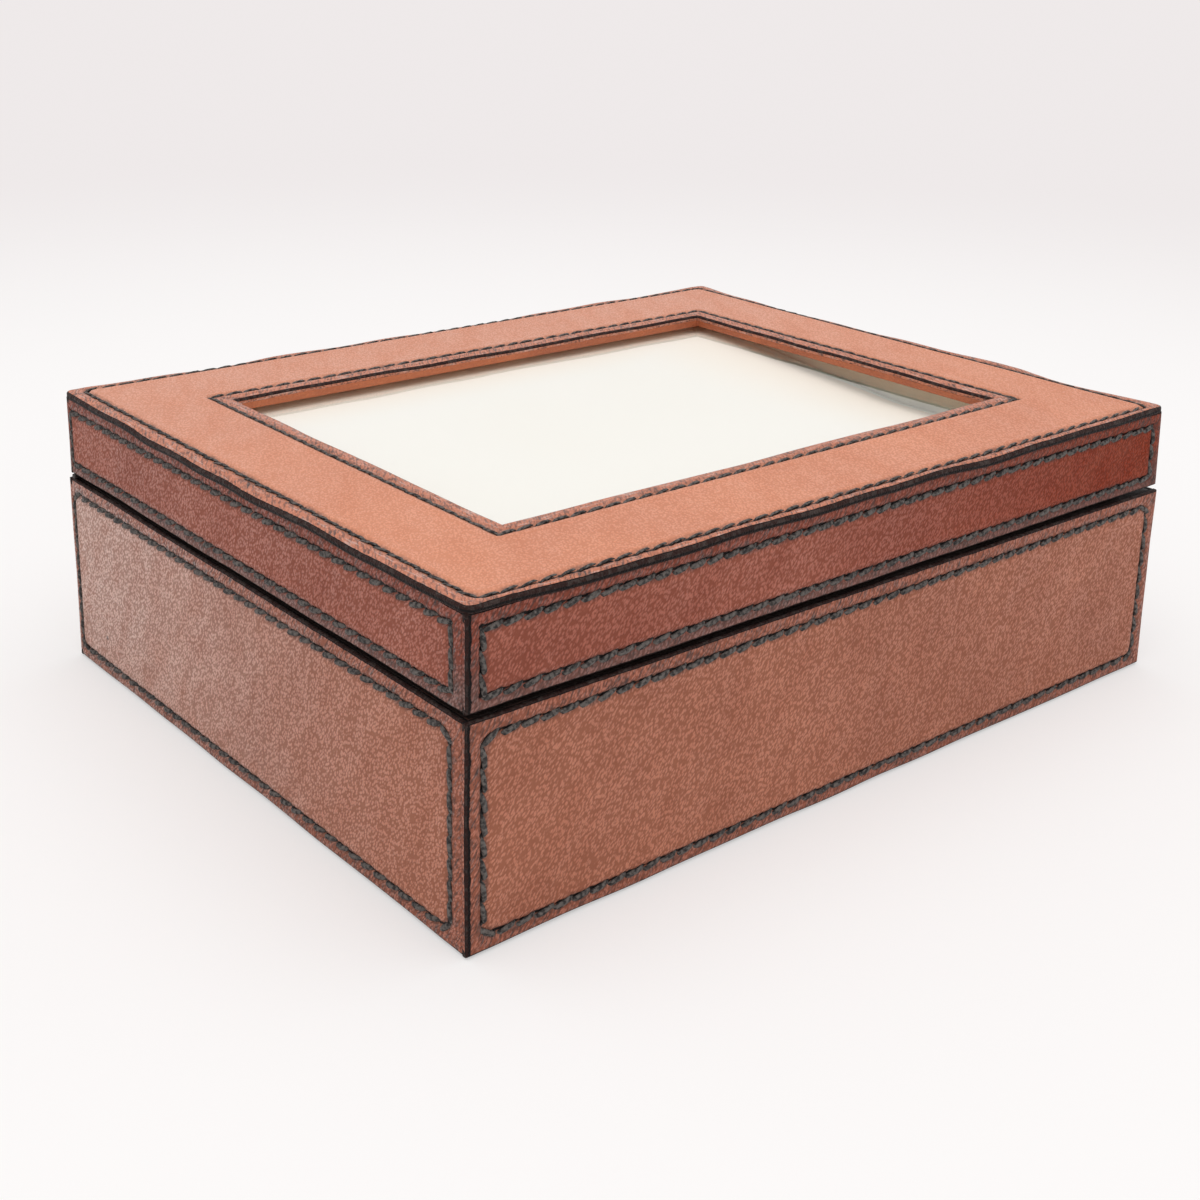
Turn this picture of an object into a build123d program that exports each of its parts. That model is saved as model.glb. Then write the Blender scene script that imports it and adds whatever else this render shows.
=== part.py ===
"""Leather cufflink box: stitched leather over board, hinged window lid, divided tray, end drawer.

Frame: +Z up, +X along the long side towards the drawer end, +Y towards the hinges. The origin is
the centre of the underside. All sizes are in millimetres.
"""
import os

from build123d import *

os.makedirs("parts", exist_ok=True)

# Outside of the box
LENGTH = 240.0
DEPTH = 190.0
BASE_TOP = 53.5
LID_BOTTOM = 55.0
HEIGHT = 78.5

# Leather
SIDE_LEATHER = 1.6
SIDE_LIFT = 0.2
TOP_LEATHER = 1.7
THIN_LEATHER = 1.2
LID_OVERHANG = 0.4
CORNER_ROUND = 1.4
TOP_CORNER_ROUND = 2.5

# Boards
WALL = 6.0
LID_WALL = 4.6
BOTTOM_BOARD = 4.0
DECK_BOARD = 3.0
DECK_TOP = 33.4
LIP = 2.5
LIP_TOP = 61.5

# Window
WINDOW_BORDER = 34.0
REVEAL = 1.0
GLASS_TOP = 74.6
GLASS = 2.0
POCKET_LENGTH = 194.0
POCKET_DEPTH = 144.0
BACK_PANEL_TOP = 64.5
BACK_PANEL = 2.0
CARD = 1.0
CARD_TOP = 72.4
CARD_SAG = 6.5
POCKET_PLAY = 1.0

# Tray of compartments
TRAY_PLAY = 0.4
TRAY_WALL = 2.5
TRAY_FLOOR = 2.0
TRAY_TOP = 53.0
DIVIDER = 2.0
DIVIDER_DROP = 2.0
TRAY_COLUMNS = 5
TRAY_ROWS = 4

# Drawer
DRAWER_PLAY = 0.5
DRAWER_FRONT = 8.0
DRAWER_WALL = 4.0
DRAWER_BOTTOM = 2.5
DRAWER_PAD = 1.0
DRAWER_TAIL = -108.0
DRAWER_DIVIDER_TOP = 22.0
DRAWER_DIVIDERS_X = (-34.0, 38.0)
DRAWER_TRAVEL = 150.0
STOP_BLOCK = (8.0, 24.0, 3.0)
TAB_WIDTH = 22.0
TAB_THICK = 3.0
TAB_REACH = 14.0
TAB_ROOT = 4.0

# Hinges
HINGE_X = (-72.0, 72.0)
HINGE_LENGTH = 32.0
HINGE_LEAF = 0.7
HINGE_BARREL = 2.1
HINGE_BEHIND = 2.4
HINGE_BORE = 1.03
HINGE_PIN = 1.0
KNUCKLE_GAP = 0.35
LEAF_DEPTH = 6.6
SCREW_SPREAD = 10.0
SCREW_Y = 90.7
SCREW_SHANK = 0.9
SCREW_HEAD = 1.5
SCREW_LENGTH = 9.0

# Stitching
THREAD_WIDTH = 1.3
THREAD_HEIGHT = 0.45
ROW_EDGE = 4.3
TOP_ROW_EDGE = 3.0
LEFT_ROW_SHIFT = 1.8
ROW_CORNER = 3.0
LID_ROW_CORNER = 1.8
WINDOW_ROW = 4.9
LID_ROW_LOW = 58.0
LID_ROW_HIGH = 72.9
BASE_ROW_LOW = 3.6
BASE_ROW_HIGH = 49.4
RAIL_ROW_LOW = 34.0
DRAWER_ROW_EDGE = 3.2

# Places worked out from the sizes above
outer_x = LENGTH / 2
outer_y = DEPTH / 2
board_x = outer_x - SIDE_LEATHER
board_y = outer_y - SIDE_LEATHER
inner_x = board_x - WALL
inner_y = board_y - WALL
lid_outer_x = outer_x - LID_OVERHANG
lid_outer_y = outer_y - LID_OVERHANG
lid_board_x = lid_outer_x - SIDE_LEATHER
lid_board_y = lid_outer_y - SIDE_LEATHER
lid_inner_x = lid_board_x - LID_WALL
lid_inner_y = lid_board_y - LID_WALL
lid_board_top = HEIGHT - TOP_LEATHER
deck_under = DECK_TOP - DECK_BOARD
bottom_board_top = THIN_LEATHER + BOTTOM_BOARD
base_board_top = BASE_TOP - THIN_LEATHER
window_x = outer_x - WINDOW_BORDER
window_y = outer_y - WINDOW_BORDER
axis_y = outer_y + HINGE_BEHIND
axis_z = (BASE_TOP + LID_BOTTOM) / 2


def save(name, solid):
    """Labels a finished piece and writes it to its own file."""
    solid.label = name
    export_step(solid, f"parts/{name}.step")


def slab(x0, x1, y0, y1, z0, z1):
    """A board between two corners."""
    with BuildPart() as board:
        with BuildSketch(Plane.XY.offset(z0)):
            with Locations(((x0 + x1) / 2, (y0 + y1) / 2)):
                Rectangle(x1 - x0, y1 - y0)
        extrude(amount=z1 - z0)
    return board


def ring(half_x, half_y, hole_x, hole_y, z0, z1):
    """A flat rectangular frame round the Z axis."""
    with BuildPart() as frame:
        with BuildSketch(Plane.XY.offset(z0)):
            Rectangle(2 * half_x, 2 * half_y)
            Rectangle(2 * hole_x, 2 * hole_y, mode=Mode.SUBTRACT)
        extrude(amount=z1 - z0)
    return frame


def front_plane(y, z):
    """A plane on a -Y face, centred at height z, looking out of the box."""
    return Plane(origin=(0, y, z), x_dir=(1, 0, 0), z_dir=(0, -1, 0))


def back_plane(y, z):
    """A plane on a +Y face, centred at height z, looking out of the box."""
    return Plane(origin=(0, y, z), x_dir=(-1, 0, 0), z_dir=(0, 1, 0))


def left_plane(x, z):
    """A plane on a -X face, centred at height z on the left rows, looking out of the box."""
    return Plane(origin=(x, LEFT_ROW_SHIFT, z), x_dir=(0, -1, 0), z_dir=(-1, 0, 0))


def right_plane(x, z):
    """A plane on a +X face, centred at height z, looking out of the box."""
    return Plane(origin=(x, 0, z), x_dir=(0, 1, 0), z_dir=(1, 0, 0))


def thread_row(plane, length, height, corner):
    """A closed row of thread that stands proud of the leather, laid round a panel."""
    with BuildPart() as row:
        with BuildSketch(plane):
            if corner:
                RectangleRounded(length + THREAD_WIDTH, height + THREAD_WIDTH, corner + THREAD_WIDTH / 2)
                RectangleRounded(
                    length - THREAD_WIDTH,
                    height - THREAD_WIDTH,
                    corner - THREAD_WIDTH / 2,
                    mode=Mode.SUBTRACT,
                )
            else:
                Rectangle(length + THREAD_WIDTH, height + THREAD_WIDTH)
                Rectangle(length - THREAD_WIDTH, height - THREAD_WIDTH, mode=Mode.SUBTRACT)
        extrude(amount=THREAD_HEIGHT)
    return row.part


def screw_points(y=SCREW_Y):
    """The places of the hinge screws, seen from above."""
    return [(x + side * SCREW_SPREAD, y) for x in HINGE_X for side in (-1, 1)]


def drilled(piece, z, depth):
    """The piece with the screws' pilot holes bored upwards from height z."""
    with BuildPart() as bored:
        add(piece.part)
        with BuildSketch(Plane.XY.offset(z)):
            with Locations(*screw_points()):
                Circle(SCREW_SHANK)
        extrude(amount=depth, mode=Mode.SUBTRACT)
    return bored


# ---------------------------------------------------------------- base: boards
bottom_board = slab(-inner_x, board_x, -inner_y, inner_y, THIN_LEATHER, bottom_board_top)
save("base_bottom_board", bottom_board.part)

front_board = slab(-board_x, board_x, -board_y, -inner_y, THIN_LEATHER, base_board_top)
save("base_front_board", front_board.part)

back_board = slab(-board_x, board_x, inner_y, board_y, THIN_LEATHER, base_board_top)
back_board = drilled(back_board, base_board_top - SCREW_LENGTH, SCREW_LENGTH)
save("base_back_board", back_board.part)

left_board = slab(-board_x, -inner_x, -inner_y, inner_y, THIN_LEATHER, base_board_top)
save("base_left_board", left_board.part)

right_rail = slab(inner_x, board_x, -inner_y, inner_y, deck_under, base_board_top)
save("base_right_rail", right_rail.part)

deck = slab(-inner_x, inner_x, -inner_y, inner_y, deck_under, DECK_TOP)
save("deck_board", deck.part)

stop_x = DRAWER_TAIL + DRAWER_WALL + DRAWER_TRAVEL
stop_block = slab(
    stop_x,
    stop_x + STOP_BLOCK[0],
    -STOP_BLOCK[1] / 2,
    STOP_BLOCK[1] / 2,
    deck_under - STOP_BLOCK[2],
    deck_under,
)
save("drawer_stop_block", stop_block.part)

# The lip stands inside the walls and rises into the closed lid.
lip_front = slab(-inner_x, inner_x, -inner_y, -inner_y + LIP, DECK_TOP, LIP_TOP)
save("lip_front", lip_front.part)
lip_back = slab(-inner_x, inner_x, inner_y - LIP, inner_y, DECK_TOP, LIP_TOP)
save("lip_back", lip_back.part)
lip_left = slab(-inner_x, -inner_x + LIP, -inner_y + LIP, inner_y - LIP, DECK_TOP, LIP_TOP)
save("lip_left", lip_left.part)
lip_right = slab(inner_x - LIP, inner_x, -inner_y + LIP, inner_y - LIP, DECK_TOP, LIP_TOP)
save("lip_right", lip_right.part)


# -------------------------------------------------------------- base: leathers
def long_leather(side, half_x, half_y, z0, z1):
    """The leather of a long face, with its two upright outer edges rounded."""
    near, far = sorted((side * half_y, side * (half_y - SIDE_LEATHER)))
    with BuildPart() as sheet:
        add(slab(-half_x, half_x, near, far, z0, z1).part)
        corners = sheet.edges().filter_by(Axis.Z).group_by(Axis.Y)[-1 if side > 0 else 0]
        fillet(corners, CORNER_ROUND)
    return sheet


save("base_front_leather", long_leather(-1, outer_x, outer_y, SIDE_LIFT, BASE_TOP).part)
save("base_back_leather", long_leather(1, outer_x, outer_y, SIDE_LIFT, BASE_TOP).part)

left_leather = slab(-outer_x, -board_x, -board_y, board_y, SIDE_LIFT, BASE_TOP)
save("base_left_leather", left_leather.part)

with BuildPart() as right_leather:
    with BuildSketch(right_plane(board_x, (SIDE_LIFT + BASE_TOP) / 2)):
        Rectangle(2 * board_y, BASE_TOP - SIDE_LIFT)
        with Locations((0, (bottom_board_top + deck_under - SIDE_LIFT - BASE_TOP) / 2)):
            Rectangle(2 * inner_y, deck_under - bottom_board_top, mode=Mode.SUBTRACT)
    extrude(amount=SIDE_LEATHER)
save("base_right_leather", right_leather.part)

under_leather = slab(-board_x, board_x, -board_y, board_y, 0, THIN_LEATHER)
save("base_under_leather", under_leather.part)

base_rim = ring(board_x, board_y, inner_x, inner_y, base_board_top, BASE_TOP)
base_rim = drilled(base_rim, base_board_top, THIN_LEATHER)
save("base_rim_leather", base_rim.part)


# ------------------------------------------------------- base: compartment tray
tray_x = inner_x - LIP - TRAY_PLAY
tray_y = inner_y - LIP - TRAY_PLAY
room_x = tray_x - TRAY_WALL
room_y = tray_y - TRAY_WALL
room_floor = DECK_TOP + TRAY_FLOOR
divider_top = TRAY_TOP - DIVIDER_DROP
divider_middle = (room_floor + divider_top) / 2

with BuildPart() as tray:
    with BuildSketch(Plane.XY.offset(DECK_TOP)):
        Rectangle(2 * tray_x, 2 * tray_y)
    extrude(amount=TRAY_TOP - DECK_TOP)
    with BuildSketch(Plane.XY.offset(room_floor)):
        Rectangle(2 * room_x, 2 * room_y)
    extrude(amount=TRAY_TOP - room_floor, mode=Mode.SUBTRACT)
save("cufflink_tray", tray.part)

cross_x = [room_x * (2 * i / TRAY_COLUMNS - 1) for i in range(1, TRAY_COLUMNS)]
long_y = [room_y * (2 * i / TRAY_ROWS - 1) for i in range(1, TRAY_ROWS)]


def halved_strips(places, crossings, half_run, across, notch_z0, notch_z1):
    """Upright divider strips with a half-lap slot at each crossing."""
    with BuildPart() as strips:
        with BuildSketch(Plane.XY.offset(room_floor)):
            with Locations(*[(p, 0) if across else (0, p) for p in places]):
                Rectangle(DIVIDER if across else 2 * half_run, 2 * half_run if across else DIVIDER)
        extrude(amount=divider_top - room_floor)
        with BuildSketch(Plane.XY.offset(notch_z0)):
            with Locations(*[(p, c) if across else (c, p) for p in places for c in crossings]):
                Rectangle(DIVIDER, DIVIDER)
        extrude(amount=notch_z1 - notch_z0, mode=Mode.SUBTRACT)
    return strips


tray_cross = halved_strips(cross_x, long_y, room_y, True, divider_middle, divider_top)
save("tray_cross_dividers", tray_cross.part)
tray_long = halved_strips(long_y, cross_x, room_x, False, room_floor, divider_middle)
save("tray_long_dividers", tray_long.part)

# ------------------------------------------------------------------ lid: boards
lid_rim_top = LID_BOTTOM + THIN_LEATHER

lid_front = slab(-lid_board_x, lid_board_x, -lid_board_y, -lid_inner_y, lid_rim_top, lid_board_top)
save("lid_front_board", lid_front.part)
lid_back = slab(-lid_board_x, lid_board_x, lid_inner_y, lid_board_y, lid_rim_top, lid_board_top)
lid_back = drilled(lid_back, lid_rim_top, SCREW_LENGTH)
save("lid_back_board", lid_back.part)
lid_left = slab(-lid_board_x, -lid_inner_x, -lid_inner_y, lid_inner_y, lid_rim_top, lid_board_top)
save("lid_left_board", lid_left.part)
lid_right = slab(lid_inner_x, lid_board_x, -lid_inner_y, lid_inner_y, lid_rim_top, lid_board_top)
save("lid_right_board", lid_right.part)

# The window frame is rebated from below: the glass lies against the shelf that the rebate leaves.
with BuildPart() as window_frame:
    with BuildSketch(Plane.XY.offset(BACK_PANEL_TOP)):
        Rectangle(2 * lid_inner_x, 2 * lid_inner_y)
        Rectangle(POCKET_LENGTH, POCKET_DEPTH, mode=Mode.SUBTRACT)
    extrude(amount=GLASS_TOP - BACK_PANEL_TOP)
    with BuildSketch(Plane.XY.offset(GLASS_TOP)):
        Rectangle(2 * lid_inner_x, 2 * lid_inner_y)
        Rectangle(2 * (window_x + REVEAL), 2 * (window_y + REVEAL), mode=Mode.SUBTRACT)
    extrude(amount=lid_board_top - GLASS_TOP)
save("window_frame", window_frame.part)

back_panel = slab(
    -lid_inner_x, lid_inner_x, -lid_inner_y, lid_inner_y, BACK_PANEL_TOP - BACK_PANEL, BACK_PANEL_TOP
)
save("lid_back_panel", back_panel.part)

# ---------------------------------------------------------------- lid: leathers
with BuildPart() as lid_top:
    with BuildSketch(Plane.XY.offset(lid_board_top)):
        RectangleRounded(LENGTH, DEPTH, TOP_CORNER_ROUND)
        Rectangle(2 * window_x, 2 * window_y, mode=Mode.SUBTRACT)
    extrude(amount=TOP_LEATHER)
save("lid_top_leather", lid_top.part)

save("lid_front_leather", long_leather(-1, lid_outer_x, lid_outer_y, LID_BOTTOM, lid_board_top).part)
save("lid_back_leather", long_leather(1, lid_outer_x, lid_outer_y, LID_BOTTOM, lid_board_top).part)
lid_left_leather = slab(
    -lid_outer_x, -lid_board_x, -lid_board_y, lid_board_y, LID_BOTTOM, lid_board_top
)
save("lid_left_leather", lid_left_leather.part)
lid_right_leather = slab(lid_board_x, lid_outer_x, -lid_board_y, lid_board_y, LID_BOTTOM, lid_board_top)
save("lid_right_leather", lid_right_leather.part)

reveal = ring(window_x + REVEAL, window_y + REVEAL, window_x, window_y, GLASS_TOP, lid_board_top)
save("window_reveal_leather", reveal.part)

lid_rim = ring(lid_board_x, lid_board_y, lid_inner_x, lid_inner_y, LID_BOTTOM, lid_rim_top)
lid_rim = drilled(lid_rim, LID_BOTTOM, THIN_LEATHER)
save("lid_rim_leather", lid_rim.part)

# ------------------------------------------------------------ lid: behind glass
glass_x = (POCKET_LENGTH - POCKET_PLAY) / 2
glass_y = (POCKET_DEPTH - POCKET_PLAY) / 2
glass = slab(-glass_x, glass_x, -glass_y, glass_y, GLASS_TOP - GLASS, GLASS_TOP)
save("glass_pane", glass.part)

card_x = POCKET_LENGTH / 2 - POCKET_PLAY
card_y = POCKET_DEPTH / 2 - POCKET_PLAY
# Each row: place along Y, where the card starts to bend down, and how far its right edge hangs.
CARD_SECTIONS = (
    (-card_y, 42.0, CARD_SAG),
    (-33.0, 50.0, CARD_SAG),
    (0.0, 61.0, 0.45 * CARD_SAG),
    (40.0, 74.0, 0.07 * CARD_SAG),
    (card_y, 84.0, 0.01 * CARD_SAG),
)


def card_section(y, bend_x, sag):
    """A cut across the card at y, from its flat left edge to its hanging right edge."""
    with BuildSketch(Plane(origin=(0, y, CARD_TOP), x_dir=(1, 0, 0), z_dir=(0, -1, 0))) as section:
        with BuildLine():
            Polyline(
                (-card_x, 0),
                (bend_x, 0),
                (card_x, -sag),
                (card_x, -sag - CARD),
                (bend_x, -CARD),
                (-card_x, -CARD),
                close=True,
            )
        make_face()
    return section.sketch


with BuildPart() as card:
    loft([card_section(*row) for row in CARD_SECTIONS], ruled=True)
save("display_card", card.part)


# ----------------------------------------------------------------------- drawer
front_z0 = bottom_board_top + DRAWER_PLAY
front_z1 = deck_under - DRAWER_PLAY
front_y = inner_y - DRAWER_PLAY
front_x0 = board_x - DRAWER_FRONT
tab_z = (front_z0 + front_z1) / 2
side_y = front_y - DRAWER_WALL


def slotted(piece):
    """The piece with the slot that holds the root of the pull tab."""
    with BuildPart() as cut:
        add(piece.part)
        with BuildSketch(Plane.XY.offset(tab_z - TAB_THICK / 2)):
            with Locations(((board_x - TAB_ROOT + outer_x) / 2, 0)):
                Rectangle(TAB_ROOT + SIDE_LEATHER, TAB_WIDTH)
        extrude(amount=TAB_THICK, mode=Mode.SUBTRACT)
    return cut


drawer_front = slotted(slab(front_x0, board_x, -front_y, front_y, front_z0, front_z1))
save("drawer_front_board", drawer_front.part)

drawer_leather = slotted(slab(board_x, outer_x, -front_y, front_y, front_z0, front_z1))
save("drawer_front_leather", drawer_leather.part)

drawer_near = slab(DRAWER_TAIL, front_x0, -front_y, -side_y, front_z0, front_z1)
save("drawer_near_side", drawer_near.part)
drawer_far = slab(DRAWER_TAIL, front_x0, side_y, front_y, front_z0, front_z1)
save("drawer_far_side", drawer_far.part)

tail_x = DRAWER_TAIL + DRAWER_WALL
drawer_back = slab(DRAWER_TAIL, tail_x, -side_y, side_y, front_z0, front_z1)
save("drawer_back", drawer_back.part)

drawer_floor = front_z0 + DRAWER_BOTTOM
drawer_bottom = slab(tail_x, front_x0, -side_y, side_y, front_z0, drawer_floor)
save("drawer_bottom", drawer_bottom.part)

drawer_pad = slab(tail_x, front_x0, -side_y, side_y, drawer_floor, drawer_floor + DRAWER_PAD)
save("drawer_lining", drawer_pad.part)

with BuildPart() as drawer_dividers:
    with BuildSketch(Plane.XY.offset(drawer_floor + DRAWER_PAD)):
        with Locations(*[(x, 0) for x in DRAWER_DIVIDERS_X]):
            Rectangle(DIVIDER, 2 * side_y)
    extrude(amount=DRAWER_DIVIDER_TOP - drawer_floor - DRAWER_PAD)
save("drawer_dividers", drawer_dividers.part)

with BuildPart() as pull_tab:
    with BuildSketch(Plane.XY.offset(tab_z - TAB_THICK / 2)):
        with Locations(((board_x - TAB_ROOT + outer_x + TAB_REACH) / 2, 0)):
            Rectangle(outer_x + TAB_REACH - board_x + TAB_ROOT, TAB_WIDTH)
    extrude(amount=TAB_THICK)
    tips = pull_tab.edges().filter_by(Axis.Z).group_by(Axis.X)[-1]
    fillet(tips, TAB_WIDTH * 0.36)
save("drawer_pull_tab", pull_tab.part)


# ----------------------------------------------------------------------- hinges
knuckle = (HINGE_LENGTH - 2 * KNUCKLE_GAP) / 3
outer_knuckle_x = knuckle + KNUCKLE_GAP


def hinge_leaf(x, leaf_z0, knuckles, head_up):
    """One leaf with its share of the barrel. The countersinks open towards the other leaf."""
    leaf_y1 = outer_y + 0.1
    with BuildPart() as leaf:
        with BuildSketch(Plane.XY.offset(leaf_z0)):
            with Locations((x, leaf_y1 - LEAF_DEPTH / 2)):
                Rectangle(HINGE_LENGTH, LEAF_DEPTH)
            with Locations(*[(x + k, (leaf_y1 + axis_y) / 2) for k in knuckles]):
                Rectangle(knuckle, axis_y - leaf_y1)
        extrude(amount=HINGE_LEAF)
        for k in knuckles:
            with BuildSketch(Plane.YZ.offset(x + k - knuckle / 2)):
                with Locations((axis_y, axis_z)):
                    Circle(HINGE_BARREL)
            extrude(amount=knuckle)
        with BuildSketch(Plane.YZ.offset(x - HINGE_LENGTH / 2)):
            with Locations((axis_y, axis_z)):
                Circle(HINGE_BORE)
        extrude(amount=HINGE_LENGTH, mode=Mode.SUBTRACT)
        face_z = leaf_z0 + HINGE_LEAF if head_up else leaf_z0
        turn = (0, 0, 0) if head_up else (180, 0, 0)
        for side in (-1, 1):
            with Locations(Location((x + side * SCREW_SPREAD, SCREW_Y, face_z), turn)):
                CounterSinkHole(SCREW_SHANK, SCREW_HEAD, HINGE_LEAF, 90)
    return leaf


for side, x in zip(("left", "right"), HINGE_X):
    base_leaf = hinge_leaf(x, BASE_TOP, (-outer_knuckle_x, outer_knuckle_x), True)
    save(f"hinge_{side}_base_leaf", base_leaf.part)
    lid_leaf = hinge_leaf(x, LID_BOTTOM - HINGE_LEAF, (0.0,), False)
    save(f"hinge_{side}_lid_leaf", lid_leaf.part)

with BuildPart() as pins:
    for x in HINGE_X:
        with BuildSketch(Plane.YZ.offset(x - HINGE_LENGTH / 2)):
            with Locations((axis_y, axis_z)):
                Circle(HINGE_PIN)
        extrude(amount=HINGE_LENGTH)
save("hinge_pins", pins.part)


def screws(face_z, head_up):
    """The countersunk wood screws of one body, each turned from its own outline."""
    turn = 1 if head_up else -1
    neck = SCREW_HEAD - SCREW_SHANK
    length = HINGE_LEAF + THIN_LEATHER + SCREW_LENGTH - 2.0
    with BuildPart() as group:
        for px, py in screw_points():
            with BuildSketch(Plane(origin=(px, py, face_z), x_dir=(1, 0, 0), z_dir=(0, -1, 0))):
                with BuildLine():
                    Polyline(
                        (0, 0),
                        (SCREW_HEAD, 0),
                        (SCREW_SHANK, -turn * neck),
                        (SCREW_SHANK, -turn * length),
                        (0, -turn * (length + SCREW_SHANK)),
                        close=True,
                    )
                make_face()
            revolve(axis=Axis((px, py, face_z), (0, 0, 1)))
    return group


save("base_hinge_screws", screws(BASE_TOP + HINGE_LEAF, True).part)
save("lid_hinge_screws", screws(LID_BOTTOM - HINGE_LEAF, False).part)

# -------------------------------------------------------------------- stitching
long_row = LENGTH - 2 * ROW_EDGE
short_row = DEPTH - 2 * ROW_EDGE


def joined(rows):
    """Several rows of thread as one group of separate solids."""
    with BuildPart() as group:
        for row in rows:
            add(row)
    return group.part


base_mid = (BASE_ROW_LOW + BASE_ROW_HIGH) / 2
base_high = BASE_ROW_HIGH - BASE_ROW_LOW
rail_mid = (RAIL_ROW_LOW + BASE_ROW_HIGH) / 2
rail_high = BASE_ROW_HIGH - RAIL_ROW_LOW
base_rows = [
    thread_row(front_plane(-outer_y, base_mid), long_row, base_high, ROW_CORNER),
    thread_row(back_plane(outer_y, base_mid), long_row, base_high, ROW_CORNER),
    thread_row(left_plane(-outer_x, base_mid), short_row, base_high, ROW_CORNER),
    thread_row(right_plane(outer_x, rail_mid), short_row, rail_high, ROW_CORNER),
]
save("base_side_threads", joined(base_rows))

lid_mid = (LID_ROW_LOW + LID_ROW_HIGH) / 2
lid_high = LID_ROW_HIGH - LID_ROW_LOW
lid_rows = [
    thread_row(front_plane(-lid_outer_y, lid_mid), long_row, lid_high, LID_ROW_CORNER),
    thread_row(back_plane(lid_outer_y, lid_mid), long_row, lid_high, LID_ROW_CORNER),
    thread_row(left_plane(-lid_outer_x, lid_mid), short_row, lid_high, LID_ROW_CORNER),
    thread_row(right_plane(lid_outer_x, lid_mid), short_row, lid_high, LID_ROW_CORNER),
]
save("lid_side_threads", joined(lid_rows))

top_row = thread_row(Plane.XY.offset(HEIGHT), long_row, DEPTH - 2 * TOP_ROW_EDGE, ROW_CORNER)
save("lid_top_thread", top_row)
window_row = thread_row(
    Plane.XY.offset(HEIGHT), 2 * (window_x + WINDOW_ROW), 2 * (window_y + WINDOW_ROW), 0
)
save("window_thread", window_row)

drawer_row = thread_row(
    right_plane(outer_x, tab_z),
    2 * (front_y - DRAWER_ROW_EDGE),
    front_z1 - front_z0 - 2 * DRAWER_ROW_EDGE,
    ROW_CORNER,
)
save("drawer_thread", drawer_row)
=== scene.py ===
import math
import random
from collections import namedtuple

import bmesh
import bpy
import numpy as np
from mathutils import Matrix, Vector, kdtree, noise


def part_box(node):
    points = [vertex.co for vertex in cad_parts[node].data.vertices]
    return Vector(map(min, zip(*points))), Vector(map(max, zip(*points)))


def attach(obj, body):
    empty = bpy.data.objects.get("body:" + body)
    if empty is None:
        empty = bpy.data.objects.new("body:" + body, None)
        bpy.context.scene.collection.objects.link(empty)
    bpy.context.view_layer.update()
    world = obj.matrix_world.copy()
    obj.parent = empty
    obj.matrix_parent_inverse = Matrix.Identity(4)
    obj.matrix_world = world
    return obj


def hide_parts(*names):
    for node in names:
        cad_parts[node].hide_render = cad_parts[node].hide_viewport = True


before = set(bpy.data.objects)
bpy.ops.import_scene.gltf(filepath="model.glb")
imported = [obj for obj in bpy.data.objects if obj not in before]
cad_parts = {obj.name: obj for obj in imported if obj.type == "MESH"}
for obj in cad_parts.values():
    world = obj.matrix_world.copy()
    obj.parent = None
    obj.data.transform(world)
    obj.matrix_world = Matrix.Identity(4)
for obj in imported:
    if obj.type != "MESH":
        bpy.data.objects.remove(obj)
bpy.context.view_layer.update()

# ------------------------------------------------------------------ studio
# A pale seamless table top in a white room, with one broad soft lamp overhead. The camera stands
# low over the near left corner, with its picture moved down. For the camera alone the table also
# glows, which halves the shadow, and it fades into the room further out.
MM = 0.001
CAMERA_PLACE = (-0.30178, -0.34980, 0.21128)
CAMERA_TURN = (73.873, -1.209, -39.746)
CAMERA_LENS = 52.026
CAMERA_SHIFT = -1 / 6
TABLE_COLOUR = (0.94, 0.93, 0.925, 1)
TABLE_PALE = (0.985, 0.968, 0.963, 1)
TABLE_GLOW = 0.45
ROOM_COLOUR = (0.86, 0.82, 0.82, 1)
ROOM_TINT = (1, 0.985, 0.98, 1)
ROOM_LIGHT = 0.68
LAMP_PLACE = (-0.15, -0.25, 1.7)
LAMP_SIZE = 2.2
LAMP_POWER = 17.0
TABLE_HALF = 9.0
TABLE_DROP = 0.0003
FADE_NEAR, FADE_FAR = 0.3, 1.0


class Wire:
    """A socket in a material. Sums on it add Math nodes, and node() adds any other node."""

    def __init__(self, tree, socket=None):
        self.tree = tree
        self.socket = socket

    def node(self, kind, settings=None, inputs=None, output=0):
        """A new node: its settings first, then the values or links of its inputs."""
        made = self.tree.nodes.new(kind)
        for setting, value in (settings or {}).items():
            setattr(made, setting, value)
        for slot, value in (inputs or {}).items():
            if isinstance(value, Wire):
                self.tree.links.new(value.socket, made.inputs[slot])
            else:
                made.inputs[slot].default_value = value
        return Wire(self.tree, made.outputs[output]) if len(made.outputs) else None

    def sum(self, operation, *values):
        return self.node("ShaderNodeMath", {"operation": operation}, dict(enumerate(values)))

    def __add__(self, other):
        return self.sum("ADD", self, other)

    def __radd__(self, other):
        return self.sum("ADD", other, self)

    def __sub__(self, other):
        return self.sum("SUBTRACT", self, other)

    def __rsub__(self, other):
        return self.sum("SUBTRACT", other, self)

    def __mul__(self, other):
        return self.sum("MULTIPLY", self, other)

    def __rmul__(self, other):
        return self.sum("MULTIPLY", other, self)

    def __abs__(self):
        return self.sum("ABSOLUTE", self)


def rise(value, low, high):
    """0 below low, 1 above high, and smooth between them."""
    limits = {"Value": value, "From Min": low, "From Max": high}
    return value.node("ShaderNodeMapRange", {"interpolation_type": "SMOOTHSTEP"}, limits)


def blend(first, second, share):
    """One colour over another, by share."""
    return share.node("ShaderNodeMix", {"data_type": "RGBA"}, {0: share, 6: first, 7: second}, 2)


def new_finish(name):
    """An empty material, with the wire that its nodes start from."""
    finish = bpy.data.materials.new(name)
    finish.use_nodes = True
    finish.node_tree.nodes.clear()
    return finish, Wire(finish.node_tree)


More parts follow.
